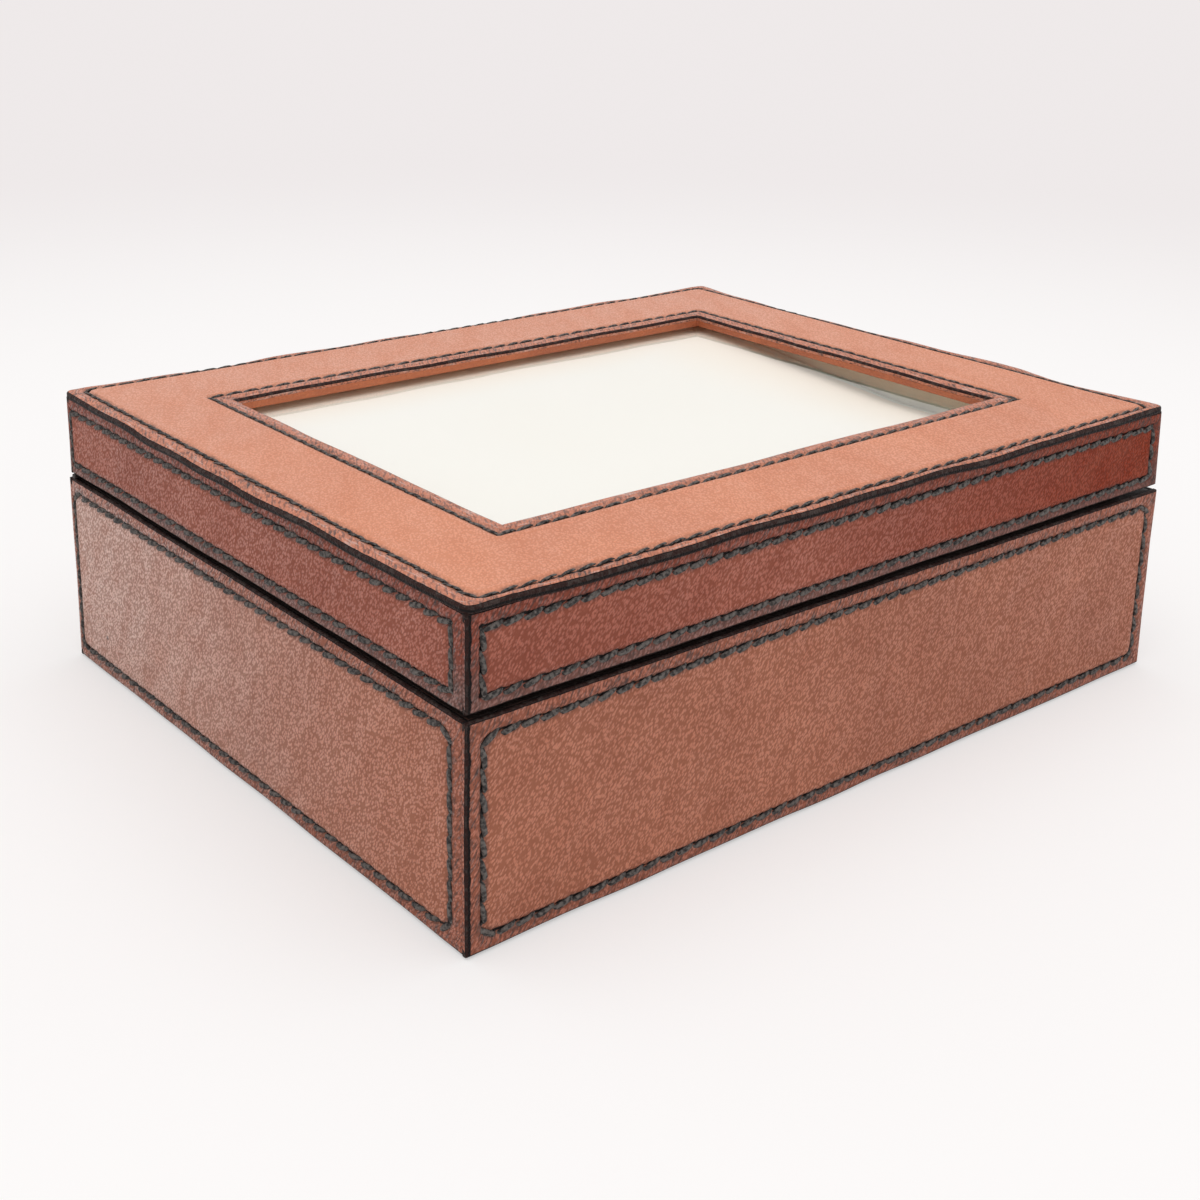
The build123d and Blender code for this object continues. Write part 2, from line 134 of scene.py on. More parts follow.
def made_mesh(shape, name):
    """Turns a bmesh into a mesh of this name, and frees it."""
    mesh = bpy.data.meshes.new(name)
    shape.to_mesh(mesh)
    shape.free()
    return mesh


camera_data = bpy.data.cameras.new("camera")
camera_data.lens = CAMERA_LENS
camera_data.shift_y = CAMERA_SHIFT
camera = bpy.data.objects.new("camera", camera_data)
camera.location = CAMERA_PLACE
camera.rotation_euler = [math.radians(turn) for turn in CAMERA_TURN]
bpy.context.scene.collection.objects.link(camera)
bpy.context.scene.camera = camera
bpy.context.scene.view_settings.view_transform = "Standard"

room = bpy.data.worlds.new("room")
room.use_nodes = True
room.node_tree.nodes.clear()
wire = Wire(room.node_tree)
seen = wire.node("ShaderNodeLightPath", output="Is Camera Ray")
seen = seen.sum("MAXIMUM", seen, wire.node("ShaderNodeLightPath", output="Is Glossy Ray"))
seen = seen.sum("MAXIMUM", seen, wire.node("ShaderNodeLightPath", output="Is Transmission Ray"))
dim = wire.node("ShaderNodeBackground", inputs={"Color": ROOM_TINT, "Strength": ROOM_LIGHT})
pale = wire.node("ShaderNodeBackground", inputs={"Color": ROOM_COLOUR, "Strength": 1.0})
shade = wire.node("ShaderNodeMixShader", inputs={0: seen, 1: dim, 2: pale})
wire.node("ShaderNodeOutputWorld", inputs={"Surface": shade})
bpy.context.scene.world = room

lamp_data = bpy.data.lights.new("lamp", "AREA")
lamp_data.size = LAMP_SIZE
lamp_data.energy = LAMP_POWER
lamp = bpy.data.objects.new("lamp", lamp_data)
lamp.location = LAMP_PLACE
lamp.rotation_euler = (-Vector(LAMP_PLACE)).to_track_quat("-Z", "Y").to_euler()
bpy.context.scene.collection.objects.link(lamp)

table_finish, wire = new_finish("table")
spot = wire.node("ShaderNodeTexCoord", output="Object")
far = spot.node("ShaderNodeVectorMath", {"operation": "LENGTH"}, {0: spot}, "Value")
lit = wire.node("ShaderNodeBsdfDiffuse", inputs={"Color": TABLE_COLOUR})
glow = wire.node("ShaderNodeEmission", inputs={"Color": TABLE_PALE, "Strength": 1.0})
seen = wire.node("ShaderNodeLightPath", output="Is Camera Ray")
near = wire.node("ShaderNodeMixShader", inputs={0: seen * TABLE_GLOW, 1: lit, 2: glow})
gone = wire.node("ShaderNodeBsdfTransparent")
shade = wire.node("ShaderNodeMixShader", inputs={0: rise(far, FADE_NEAR, FADE_FAR), 1: near, 2: gone})
wire.node("ShaderNodeOutputMaterial", inputs={"Surface": shade})

top = bmesh.new()
bmesh.ops.create_grid(top, x_segments=1, y_segments=1, size=TABLE_HALF)
bmesh.ops.translate(top, vec=(0, 0, -TABLE_DROP), verts=top.verts)
table_mesh = made_mesh(top, "table")
table_mesh.materials.append(table_finish)
table = bpy.data.objects.new("table", table_mesh)
bpy.context.scene.collection.objects.link(table)

# ------------------------------------------------------------ wooden carcass
# Lightweight hardwood boards, glued up into the base and the drawer. Leather and suede hide most
# of them, so they keep the plain shapes of the frame, with their arrises eased. The stop block is
# set a little nearer the drawer's mouth, so that the open drawer just misses it.
WOOD_PALE = (0.50, 0.37, 0.25, 1)
WOOD_DARK = (0.33, 0.21, 0.13, 1)
WOOD_GRAIN, WOOD_PORES = (17.0, 1.9, 1.9), (4.0, 0.4, 0.4)
WOOD_RELIEF = 0.0002
WELD, FLAT_ANGLE, SHARP_ANGLE = 1e-6, math.radians(1), math.radians(40)
ARRIS = 0.35
STOP_PLAY = 0.1
BOARDS = {
    "base": (
        "base_bottom_board", "base_front_board", "base_back_board", "base_left_board",
        "base_right_rail", "deck_board", "drawer_stop_block",
    ),
    "drawer": (
        "drawer_front_board", "drawer_near_side", "drawer_far_side", "drawer_back", "drawer_bottom",
    ),
}


def principled(wire, colour, roughness, normal=None, **others):
    """Ends a material in a Principled shader."""
    inputs = {"Base Color": colour, "Roughness": roughness}
    inputs.update({name.replace("_", " "): value for name, value in others.items()})
    if normal:
        inputs["Normal"] = normal
    shader = wire.node("ShaderNodeBsdfPrincipled", inputs=inputs)
    wire.node("ShaderNodeOutputMaterial", inputs={"Surface": shader})


def bump(height, strength, depth):
    """A bump normal, from a height of 0 to 1 over a depth in metres."""
    return height.node("ShaderNodeBump", inputs={"Strength": strength, "Distance": depth, "Height": height})


def in_mm(wire):
    """The frame's coordinates, in millimetres."""
    place = wire.node("ShaderNodeTexCoord", output="Object")
    return place.node("ShaderNodeVectorMath", {"operation": "SCALE"}, {0: place, "Scale": 1 / MM})


def laid(place, size, turn=0):
    """Coordinates for a pattern whose features are this long each way, turned by so many degrees."""
    sizes = size if isinstance(size, tuple) else (size, size, size)
    inputs = {"Vector": place, "Rotation": (0, 0, math.radians(turn)), "Scale": sizes}
    return place.node("ShaderNodeMapping", {"vector_type": "TEXTURE"}, inputs)


def noise_at(place, size, detail=2.0, turn=0):
    """Soft noise with features of this size."""
    inputs = {"Vector": laid(place, size, turn), "Scale": 1.0, "Detail": detail}
    return place.node("ShaderNodeTexNoise", {}, inputs)


def cells_at(place, size, turn=0):
    """Cells of this size: 0 in the middle of each, and up to about 0.8 between them."""
    inputs = {"Vector": laid(place, size, turn), "Scale": 1.0}
    return place.node("ShaderNodeTexVoronoi", {"feature": "F1"}, inputs, "Distance")


def add_piece(name, mesh, body, slot, finish, *nodes):
    """Shows a finished mesh as a piece of the box, in place of the frame's nodes."""
    mesh.polygons.foreach_set("use_smooth", [True] * len(mesh.polygons))
    mesh.materials.append(finish)
    piece = bpy.data.objects.new(name, mesh)
    bpy.context.scene.collection.objects.link(piece)
    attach(piece, body)
    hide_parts(*nodes)
    return piece


def softened(node, body, slot, finish, ease, segments=2):
    """A copy of a node with its sharp edges eased by so many millimetres."""
    block = bmesh.new()
    block.from_mesh(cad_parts[node].data)
    bmesh.ops.remove_doubles(block, verts=block.verts, dist=WELD)
    bmesh.ops.dissolve_limit(block, angle_limit=FLAT_ANGLE, verts=block.verts, edges=block.edges)
    sharp = [edge for edge in block.edges if edge.is_manifold and edge.calc_face_angle() > SHARP_ANGLE]
    bmesh.ops.bevel(
        block, geom=sharp, offset=ease * MM, segments=segments, profile=0.5, affect="EDGES",
        material=-1, clamp_overlap=True,
    )
    name = node + "_eased"
    piece = add_piece(name, made_mesh(block, name), body, slot, finish, node)
    flat_faces(piece)
    return piece


def flat_faces(piece):
    """Keeps large flat faces flat in the light, beside their eased edges."""
    weighted = piece.modifiers.new("flat", "WEIGHTED_NORMAL")
    weighted.keep_sharp = True


wood, wire = new_finish("board wood")
place = in_mm(wire)
grain = noise_at(place, WOOD_GRAIN, 4)
pores = noise_at(place, WOOD_PORES)
figure = rise(grain, 0.3, 0.7)
colour = blend(WOOD_PALE, WOOD_DARK, figure * 0.6 + rise(pores, 0.5, 0.7) * 0.3)
principled(wire, colour, 0.55 + figure * 0.15, bump(pores, 0.35, WOOD_RELIEF))

for body, nodes in BOARDS.items():
    for node in nodes:
        piece = softened(node, body, "board", wood, ARRIS)
        if node == "drawer_stop_block":
            piece.data.transform(Matrix.Translation((STOP_PLAY * MM, 0, 0)))

# ------------------------------------------------------------- base leathers
# One hide of waxed brown calf to each face, glued down, its cut edges painted dark and burnished.
# A groove is pressed along each row for the thread, which leaves a puffed border outside it.
BASE_BODY = (0.46, 0.165, 0.094, 1)
BASE_DEEP = (0.32, 0.104, 0.060, 1)
BASE_BORDER = (0.37, 0.120, 0.073, 1)
# Paler and greyer towards the back of the base: a painted sheen, where its coat thickens too.
BASE_PAINTED_SHEEN = (0.56, 0.330, 0.265, 1)
SMUDGE_AND_SHADE = (0.095, 0.062, 0.056, 1)
CREASE_HIGHLIGHT_PAINT = (0.66, 0.44, 0.38, 1)
INK_AND_SHADE_BLACK = (0.008, 0.006, 0.006, 1)
EDGE_BROWN = (0.030, 0.013, 0.011, 1)
EDGE_GREY = (0.066, 0.050, 0.045, 1)
BASE_SHEEN_SPAN, BASE_COATS = ("Y", -110.0, 105.0), (0.4, 0.8)
CLOUD_SIZE, MOTTLE_SIZE, SMUDGE_SIZE, RAGGED_SIZE = 42.0, 8.0, 3.2, 1.3
STREAK_SIZE, STREAK_TURN = (26.0, 7.0, 7.0), 62
GRAIN_SIZE, GRAIN_TURN = (1.0, 0.55, 0.55), 52
CRACK_SIZE, CRACK_TURN = (2.8, 0.6, 0.6), 58
CREASE_SIZE = (6.0, 0.6, 0.6)
SPOT_SPACING, SPOT_EDGE = 46.0, (0.012, 0.022)
BORDER_FROM, BORDER_TO = (0.4, 1.3), (5.5, 9.0)
BORDER_CHANGE = (60.0, 68.0)
GROOVE_SHADE_EDGE, INKED_SHADE_EDGE, HOLE_EDGE = (0.7, 1.8), (0.25, 0.5), (0.5, 0.85)
INKED_SHADE_RAGGED, PAINT_SMUDGED, PAINT_RAGGED = 1.3, 0.4, 0.3
RELIEF_DEPTH = 0.0003
COAT_ROUGHNESS, HIDE_SPECULAR = 0.36, 0.1
ROW_EDGE = 4.3
ROW_CORNER, CORNER_STEPS = 3.0, 7
BASE_ROW_LOW, BASE_ROW_HIGH = 3.6, 49.4
RAIL_ROW_LOW = 34.0
LEFT_ROW_SHIFT = -1.8
STITCH_PITCH = 5.08
INKED_SHADE_REACH = 2.2
GROOVE_DEPTH, GROOVE_HALF = 0.42, 0.85
SWELL_HEIGHT, SWELL_AT, SWELL_HALF = 0.16, 2.1, 1.1
DIMPLE_DEPTH, DIMPLE_HALF = 0.35, 0.6
BORDER_FALL, BORDER_REACH, FALL_WAVER, CORNER_HOLD = 0.06, 5.0, 1.4, 18.0
BAND_SHARE, BAND_TURN, BAND_BEHIND = 0.45, 0.35, 1.5
NEARBY, FAR_OFF = 3.0, 9.0
WINDOW_PAINT, PAINT_REACH, PAINT_SOLID = 0.8, 0.5, 0.8
PAINT_LINE, PAINT_LINE_EDGE = 0.7, (0.08, 0.24)
PAINT_SEAM, PAINT_SEAM_EDGE = 1.15, (0.15, 0.35)
BOX_LONGER, LID_LEAN, LEAN_FROM = 0.4, 1.2, 0.5
WANDER_HEIGHT, WANDER_SIZE = 0.09, 28.0
EDGE_WAVE, EDGE_WAVE_SIZE, EDGE_WAVE_REACH = 0.11, 22.0, 4.0
SEED_SPREAD, WAVE_PLANE = 50, 9
LINE_FINE, LINE_WIDE, LINE_GROWTH = 0.32, 0.9, 1.3
ROLL_ANGLES = (25, 50, 70, 90)
TUCK_FROM, ROLL_TUCK = 0.85, 0.15
SIDE_LAY = (0.12, -0.18)
TOP_LAY = (-0.08, 0.14)
# Each face: its ways across and up, and how far its thread lies off its row.
FACINGS = {
    "front": ((1, 0, 0), (0, 0, 1), SIDE_LAY),
    "back": ((-1, 0, 0), (0, 0, 1), SIDE_LAY),
    "left": ((0, -1, 0), (0, 0, 1), SIDE_LAY),
    "right": ((0, 1, 0), (0, 0, 1), SIDE_LAY),
    "top": ((1, 0, 0), (0, 1, 0), TOP_LAY),
}
# A rounded rectangle on a face, in millimetres. Its border is outside it (1) or inside it (-1), and
# falls by so much for each millimetre away from the row.
Row = namedtuple("Row", "u v half_u half_v corner border fall", defaults=(0.0, 1, BORDER_FALL))


def gap_to(row, u, v):
    """How far each point lies outside a rounded rectangle, or inside it as a negative gap."""
    over_u = np.abs(u - row.u) - row.half_u + row.corner
    over_v = np.abs(v - row.v) - row.half_v + row.corner
    outside = np.hypot(np.maximum(over_u, 0), np.maximum(over_v, 0))
    return outside + np.minimum(np.maximum(over_u, over_v), 0) - row.corner


def runs_of(row):
    """The row's line: one closed run with rounded corners, or four straight runs."""
    points = []
    for quarter, (side_u, side_v) in enumerate(((1, 1), (-1, 1), (-1, -1), (1, -1))):
        angles = np.linspace(0, math.pi / 2, CORNER_STEPS if row.corner else 1) + quarter * math.pi / 2
        centre_u = row.u + side_u * (row.half_u - row.corner)
        centre_v = row.v + side_v * (row.half_v - row.corner)
        for angle in angles:
            points.append((centre_u + row.corner * math.cos(angle), centre_v + row.corner * math.sin(angle)))
    points.append(points[0])
    if row.corner:
        return [np.array(points)]
    return [np.array(pair) for pair in zip(points, points[1:])]


def stitches_of(row):
    """Each stitch of a row: its middle, its heading and the needle hole that it starts from."""
    stitches = []
    for run in runs_of(row):
        reach = np.concatenate(([0], np.cumsum(np.hypot(*np.diff(run, axis=0).T))))
        count = round(reach[-1] / STITCH_PITCH)
        ends = np.linspace(0, reach[-1], 2 * count + 1)
        u, v = np.interp(ends, reach, run[:, 0]), np.interp(ends, reach, run[:, 1])
        for k in range(0, 2 * count, 2):
            heading = math.atan2(v[k + 2] - v[k], u[k + 2] - u[k])
            stitches.append(((u[k + 1], v[k + 1]), heading, (u[k], v[k])))
    return stitches


def face_of(node, facing):
    """A node's outer face: its matrix from millimetres to the frame, its outline and its thickness."""
    across, up = (Vector(way) for way in FACINGS[facing][:2])
    out = across.cross(up)
    low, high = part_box(node)
    depth = max(low.dot(out), high.dot(out))
    turned = Matrix((across, up, out)).transposed().to_4x4()
    place = turned @ Matrix.Translation((0, 0, depth)) @ Matrix.Scale(MM, 4)
    middle, half = (low + high) / 2 / MM, (high - low) / 2 / MM
    reach = [abs(half.dot(way)) for way in (across, up, out)]
    return place, Row(middle.dot(across), middle.dot(up), reach[0], reach[1]), 2 * reach[2]


def lines_between(knots):
    """Grid lines from knot to knot, close together at each knot and wider apart between them."""
    lines = [knots[0]]
    for low, high in zip(knots, knots[1:]):
        steps, step = [], LINE_FINE
        while sum(steps) < (high - low) / 2:
            steps.append(step)
            step = min(LINE_WIDE, step * LINE_GROWTH)
        steps += steps[::-1]
        stretch = (high - low) / sum(steps)
        for step in steps:
            lines.append(lines[-1] + step * stretch)
        lines[-1] = high
    return lines


def flat_hide(outline, rows, roll, hollow):
    """The flat upper side of a hide as a grid, inside its rolled edges and round its hollow."""
    knots_u = {outline.u - outline.half_u + roll[0], outline.u + outline.half_u - roll[0]}
    knots_v = {outline.v - outline.half_v + roll[1], outline.v + outline.half_v - roll[1]}
    for row in rows:
        knots_u |= {row.u - row.half_u, row.u + row.half_u}
        knots_v |= {row.v - row.half_v, row.v + row.half_v}
    if hollow:
        knots_u |= {hollow.u - hollow.half_u - roll[0], hollow.u + hollow.half_u + roll[0]}
        knots_v |= {hollow.v - hollow.half_v - roll[1], hollow.v + hollow.half_v + roll[1]}
    lines_u, lines_v = lines_between(sorted(knots_u)), lines_between(sorted(knots_v))
    hide = bmesh.new()
    bmesh.ops.create_grid(hide, x_segments=len(lines_u) - 1, y_segments=len(lines_v) - 1, size=1.0)
    for vert in hide.verts:
        vert.co.x = lines_u[round((vert.co.x + 1) / 2 * (len(lines_u) - 1))]
        vert.co.y = lines_v[round((vert.co.y + 1) / 2 * (len(lines_v) - 1))]
    if hollow:
        inside = []
        for face in hide.faces:
            middle = face.calc_center_median()
            if (abs(middle.x - hollow.u) < hollow.half_u + roll[0]
                    and abs(middle.y - hollow.v) < hollow.half_v + roll[1]):
                inside.append(face)
        bmesh.ops.delete(hide, geom=inside, context="FACES")
    return hide


def round_corners(hide, outline, roll):
    """Presses the square corners of a flat hide into quarter circles."""
    radius = outline.corner - roll[0]
    for vert in hide.verts:
        over_u = abs(vert.co.x - outline.u) - outline.half_u + outline.corner
        over_v = abs(vert.co.y - outline.v) - outline.half_v + outline.corner
        if over_u > 0 and over_v > 0:
            pull_u = over_u * (1 - math.sqrt(1 - (over_v / radius) ** 2 / 2))
            pull_v = over_v * (1 - math.sqrt(1 - (over_u / radius) ** 2 / 2))
            vert.co.x -= math.copysign(pull_u, vert.co.x - outline.u)
            vert.co.y -= math.copysign(pull_v, vert.co.y - outline.v)


def roll_edges(hide, roll, thick):
    """Rolls the cut edges over, takes them down to the back and gives the edges there."""
    way = hide.verts.layers.float_vector.new("way")
    ring = [edge for edge in hide.edges if edge.is_boundary]
    for edge in ring:
        out = (edge.verts[1].co - edge.verts[0].co).cross(Vector((0, 0, 1))).normalized()
        if out.dot(edge.verts[0].co - edge.link_faces[0].calc_center_median()) < 0:
            out.negate()
        for vert in edge.verts:
            vert[way] += out
    for vert in {vert for edge in ring for vert in edge.verts}:
        mitre = vert[way] * 2 / vert[way].length_squared
        depth = max(min(abs(mitre.x), 1) * roll[0], min(abs(mitre.y), 1) * roll[1])
        vert[way] = (mitre.x * roll[0], mitre.y * roll[1], depth)
    before = 0.0
    for angle in [math.radians(angle) for angle in ROLL_ANGLES]:
        ring, verts = drawn_out(hide, ring)
        for vert in verts:
            vert.co.x += vert[way].x * (math.sin(angle) - before)
            vert.co.y += vert[way].y * (math.sin(angle) - before)
            vert.co.z = -vert[way].z * (1 - math.cos(angle))
        before = math.sin(angle)
    for depth, tuck in ((TUCK_FROM * thick, 0), (thick, ROLL_TUCK)):
        ring, verts = drawn_out(hide, ring)
        for vert in verts:
            vert.co.x -= vert[way].x * tuck
            vert.co.y -= vert[way].y * tuck
            vert.co.z = min(vert.co.z, -depth)
    return ring


def drawn_out(hide, ring):
    """Extrudes a ring of edges and gives the new ring with its vertices."""
    drawn = bmesh.ops.extrude_edge_only(hide, edges=ring)["geom"]
    verts = {item for item in drawn if isinstance(item, bmesh.types.BMVert)}
    edges = [item for item in drawn if isinstance(item, bmesh.types.BMEdge) and set(item.verts) <= verts]
    return edges, verts


def paint_gap(outline, hollow, facing, u, v, w):
    """How far each point is from the painted edges, with a broad band up the left end of a long face."""
    if facing == "top":
        inner = np.where(w < -WINDOW_PAINT, FAR_OFF, gap_to(hollow, u, v) + w)
        return np.minimum(-gap_to(outline, u, v) + w, inner)
    gap = outline.half_v - np.abs(v - outline.v) + w
    if hollow:
        inner = gap_to(hollow, u, v)
        gap = np.minimum(gap, np.where(inner < NEARBY, inner + w, FAR_OFF))
    if facing in ("front", "back"):
        behind = BAND_BEHIND * np.maximum(0, -w - BAND_TURN)
        gap = np.minimum(gap, BAND_SHARE * (u - outline.u + outline.half_u) + behind)
    return gap


def press(mesh, outline, rows, hollow, thick, place, facing):
    """Presses the rows' grooves and holes into the upper side, and notes what the finish needs."""
    lay = FACINGS[facing][2]
    points = np.empty(len(mesh.vertices) * 3)
    mesh.vertices.foreach_get("co", points)
    points = points.reshape(-1, 3)
    u, v, w = points.T.copy()
    edge = -gap_to(outline, u, v)
    if hollow:
        edge = np.minimum(edge, gap_to(hollow, u, v))
    gaps = np.array([row.border * gap_to(row, u, v) for row in rows])
    beyond = gaps.max(axis=0)
    upright = [np.abs(u - row.u) - row.half_u > np.abs(v - row.v) - row.half_v for row in rows]
    along = np.choose(gaps.argmax(axis=0), np.where(upright, v, u))
    # Points moved across each row, away from its thread, for the black line of ink and painted shadow.
    shade_u, shade_v = u + lay[0] * INKED_SHADE_REACH, v + lay[1] * INKED_SHADE_REACH
    to_inked_shade = np.min([np.abs(gap_to(row, shade_u, shade_v)) for row in rows], axis=0)
    holes = [hole for row in rows for _, _, hole in stitches_of(row)]
    tree = kdtree.KDTree(len(holes))
    for index, (hole_u, hole_v) in enumerate(holes):
        tree.insert((hole_u, hole_v, 0), index)
    tree.balance()
    to_hole = np.full(len(u), FAR_OFF)
    for index in np.nonzero(np.abs(beyond) < NEARBY)[0]:
        to_hole[index] = tree.find((shade_u[index], shade_v[index], 0))[2]
    to_paint = paint_gap(outline, hollow, facing, u, v, w)
    seed = place.translation * SEED_SPREAD
    wander = np.array([noise.noise(Vector((a, b, 0)) / WANDER_SIZE + seed) for a, b in zip(u, v)])
    wave = np.array([noise.noise(Vector((b, a, WAVE_PLANE)) / EDGE_WAVE_SIZE + seed) for a, b in zip(u, v)])
    fallen = sum(row.fall * np.clip(gap, 0, BORDER_REACH) for row, gap in zip(rows, gaps))
    inside_u, inside_v = outline.half_u - np.abs(u - outline.u), outline.half_v - np.abs(v - outline.v)
    held = np.exp(-((np.hypot(inside_u, inside_v) / CORNER_HOLD) ** 2))
    fallen *= (1 + FALL_WAVER * wave) * (1 - held)
    relief = (
        WANDER_HEIGHT * wander
        - GROOVE_DEPTH * np.exp(-((beyond / GROOVE_HALF) ** 2))
        + SWELL_HEIGHT * np.exp(-(((np.abs(beyond) - SWELL_AT) / SWELL_HALF) ** 2))
        - DIMPLE_DEPTH * np.exp(-((to_hole / DIMPLE_HALF) ** 2))
    )
    points[:, 2] = w + relief * (1 + w / thick) - fallen
    inward = EDGE_WAVE * wave * np.exp(-edge / EDGE_WAVE_REACH)
    points[:, 0] -= inward * np.sign(u - outline.u) * (inside_u < EDGE_WAVE_REACH)
    points[:, 1] -= inward * np.sign(v - outline.v) * (inside_v < EDGE_WAVE_REACH)
    mesh.vertices.foreach_set("co", points.ravel())
    for name, values in (("paint_mm", to_paint), ("inked_shade_mm", to_inked_shade), ("hole_mm", to_hole)):
        mesh.attributes.new(name, "FLOAT", "POINT").data.foreach_set("value", values)
    for name, columns in (("face_mm", (u, v, w)), ("row_mm", (along, beyond, w))):
        values = np.stack(columns, axis=1).ravel()
        mesh.attributes.new(name, "FLOAT_VECTOR", "POINT").data.foreach_set("vector", values)
    mesh.transform(place)


def settled(mesh, body):
    """Moves what lies near the right end: the box is a little longer there, and the lid leans in."""
    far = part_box("lid_top_leather")[1]
    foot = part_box("lid_rim_leather")[0].z
    for vert in mesh.vertices:
        share = max(0, vert.co.x / far.x - LEAN_FROM) / (1 - LEAN_FROM)
        lean = LID_LEAN * (vert.co.z - foot) / (far.z - foot) if body == "lid" else 0
        vert.co.x += share ** 2 * (BOX_LONGER - lean) * MM


def hide_piece(node, facing, body, slot, finish, rows, roll, hollow=None, corner=0.0):
    """A leather hide for one face, cut, rolled at its edges and pressed, in place of its node."""
    place, outline, thick = face_of(node, facing)
    outline = outline._replace(corner=corner)
    hide = flat_hide(outline, rows, roll, hollow)
    if corner:
        round_corners(hide, outline, roll)
    back = roll_edges(hide, roll, thick)
    if hollow:
        bmesh.ops.bridge_loops(hide, edges=back)
    else:
        bmesh.ops.edgeloop_fill(hide, edges=back)
    bmesh.ops.recalc_face_normals(hide, faces=hide.faces)
    name = node.replace("leather", "hide")
    mesh = made_mesh(hide, name)
    press(mesh, outline, rows, hollow, thick, place, facing)
    settled(mesh, body)
    add_piece(name, mesh, body, slot, finish, node)


def noted(wire, name, output="Fac"):
    """What a hide's mesh notes at each point."""
    return wire.node("ShaderNodeAttribute", {"attribute_name": name}, output=output)


def on_axis(vector, axis):
    """One axis of a vector."""
    return vector.node("ShaderNodeSeparateXYZ", {}, {0: vector}, axis)


